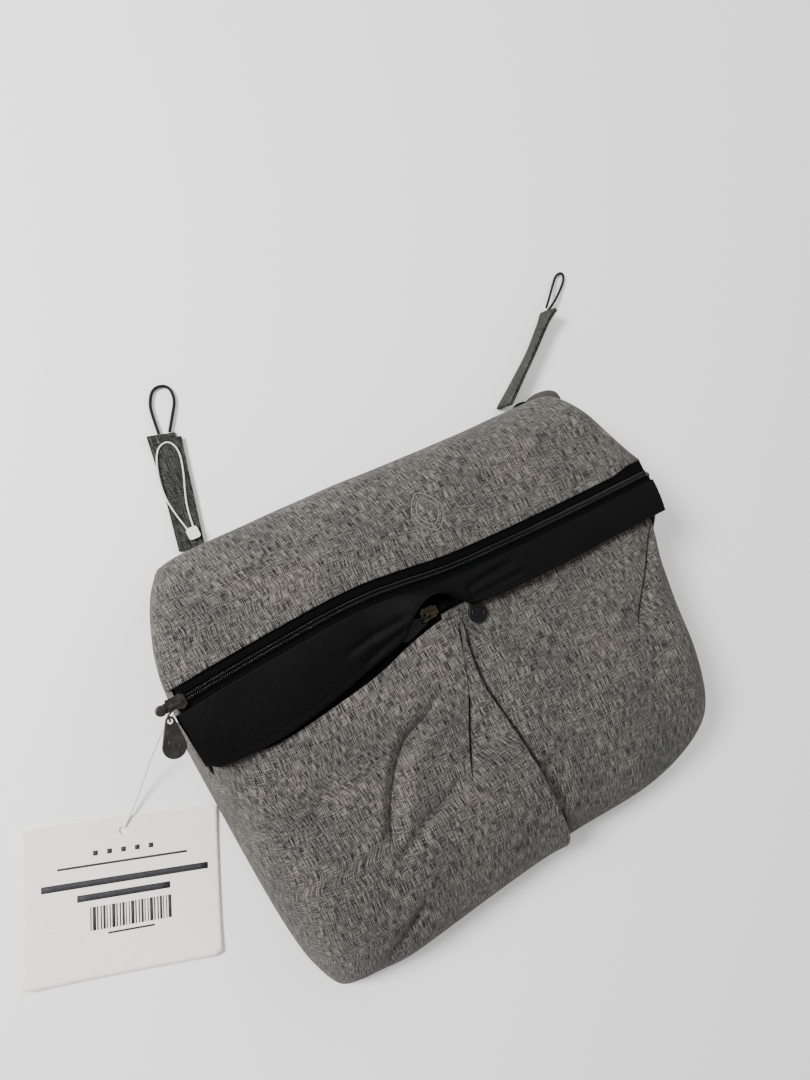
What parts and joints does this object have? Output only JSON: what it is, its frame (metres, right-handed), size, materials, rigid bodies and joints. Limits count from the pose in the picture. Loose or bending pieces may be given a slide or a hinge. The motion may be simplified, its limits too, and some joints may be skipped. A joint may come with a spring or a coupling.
{
  "type": "diaper bag",
  "caption": "Soft trapezoid diaper bag with a zipped lid strip, a nylon band over a pleated front pocket, and two short straps ending in elastic loops.",
  "frame": {"origin": "middle of the back panel, on the face that the bag lies on", "axes": "+X to the right seen from the front, +Y towards the top edge and straps, +Z out of the front"},
  "size_m": [0.6421, 0.4613, 0.0853],
  "materials": {
    "grey_cloth": "matt plain-weave melange cloth",
    "lining": "smooth lining",
    "foam": "soft closed foam",
    "board": "matt stiff sheet",
    "black_nylon": "plain-weave nylon, slight sheen",
    "zip_tape": "woven tape",
    "zip_coil": "satin nylon coil",
    "gunmetal": "dark satin plated metal",
    "black_enamel": "gloss dark enamel",
    "black_elastic": "braided elastic cord",
    "white_string": "thin twisted string",
    "white_plastic": "translucent white plastic",
    "card": "uncoated card"
  },
  "bodies": {
    "bag": {"back_panel": "grey_cloth", "back_foam": "foam", "slip_pocket": "lining", "base_board": "board", "bottom_panel": "grey_cloth", "left_side_panel": "grey_cloth", "right_side_panel": "grey_cloth", "front_panel": "lining", "front_pocket_left": "grey_cloth", "front_pocket_right": "grey_cloth", "pleat_underlay": "grey_cloth", "zip_band": "black_nylon", "top_panel": "grey_cloth", "left_strap_anchor": "black_nylon", "right_strap_anchor": "black_nylon", "main_lower_tape": "zip_tape", "main_lower_coil": "zip_coil", "main_zip_stops": "gunmetal", "pocket_upper_tape": "zip_tape", "pocket_lower_tape": "zip_tape", "pocket_upper_coil": "zip_coil", "pocket_lower_coil": "zip_coil", "pocket_zip_stops": "gunmetal"},
    "lid": {"lid_panel": "grey_cloth", "lid_lining": "lining", "lid_left_end": "grey_cloth", "lid_right_end": "grey_cloth", "main_upper_tape": "zip_tape", "main_upper_coil": "zip_coil"},
    "main_slider": {"main_slider": "gunmetal"},
    "main_puller": {"main_link": "gunmetal", "main_puller": "gunmetal"},
    "pocket_left_slider": {"pocket_left_slider": "gunmetal"},
    "pocket_left_puller": {"pocket_left_link": "gunmetal", "pocket_left_puller": "black_enamel"},
    "pocket_right_slider": {"pocket_right_slider": "gunmetal"},
    "pocket_right_puller": {"pocket_right_link": "gunmetal", "pocket_right_puller": "black_enamel"},
    "left_strap": {"left_strap_lower": "grey_cloth", "left_strap_upper": "grey_cloth", "left_loop": "black_elastic", "strap_string": "white_string", "string_clasp": "white_plastic"},
    "right_strap": {"right_strap_inner": "grey_cloth", "right_strap_outer": "grey_cloth", "right_loop": "black_elastic"},
    "hang_tag": {"hang_tag_string": "white_string", "hang_tag_card": "card"}
  },
  "joints": [
    {"name": "lid_open", "type": "hinge", "parent": "bag", "child": "lid", "pos_m": [0, 0.1675, 0.024], "axis": [-1, 0, 0], "range_deg": [0, 35]},
    {"name": "main_zip_slide", "type": "slide", "parent": "lid", "child": "main_slider", "axis": [1, 0, 0], "range_m": [0, 0.406]},
    {"name": "main_puller_swing", "type": "hinge", "parent": "main_slider", "child": "main_puller", "pos_m": [-0.21, 0.0755, 0.08455], "axis": [-1, 0, 0], "range_deg": [0, 75]},
    {"name": "pocket_left_slide", "type": "slide", "parent": "bag", "child": "pocket_left_slider", "axis": [-1, 0, 0], "range_m": [0, 0.125]},
    {"name": "pocket_left_puller_swing", "type": "hinge", "parent": "pocket_left_slider", "child": "pocket_left_puller", "pos_m": [-0.024, 0.05, 0.07285], "axis": [0, 1, 0], "range_deg": [0, 8]},
    {"name": "pocket_right_slide", "type": "slide", "parent": "bag", "child": "pocket_right_slider", "axis": [1, 0, 0], "range_m": [0, 0.143]},
    {"name": "pocket_right_puller_swing", "type": "hinge", "parent": "pocket_right_slider", "child": "pocket_right_puller", "pos_m": [0.006, 0.05, 0.07285], "axis": [-1, 0, 0], "range_deg": [0, 12]},
    {"name": "left_strap_lift", "type": "hinge", "parent": "bag", "child": "left_strap", "pos_m": [-0.146, 0.1705, 0.001], "axis": [1, 0, 0], "range_deg": [0, 40]},
    {"name": "right_strap_lift", "type": "hinge", "parent": "bag", "child": "right_strap", "pos_m": [0.151, 0.177, 0.001], "axis": [0.6, -0.8, 0], "range_deg": [0, 30]},
    {"name": "hang_tag_swing", "type": "hinge", "parent": "bag", "child": "hang_tag", "pos_m": [-0.2125, 0.0695, 0.076], "axis": [0, 0, -1], "range_deg": [0, 45]}
  ],
  "couplings": [
    {"joint": "main_zip_slide", "follows": "lid_open", "m_per_rad": 0.66299}
  ]
}
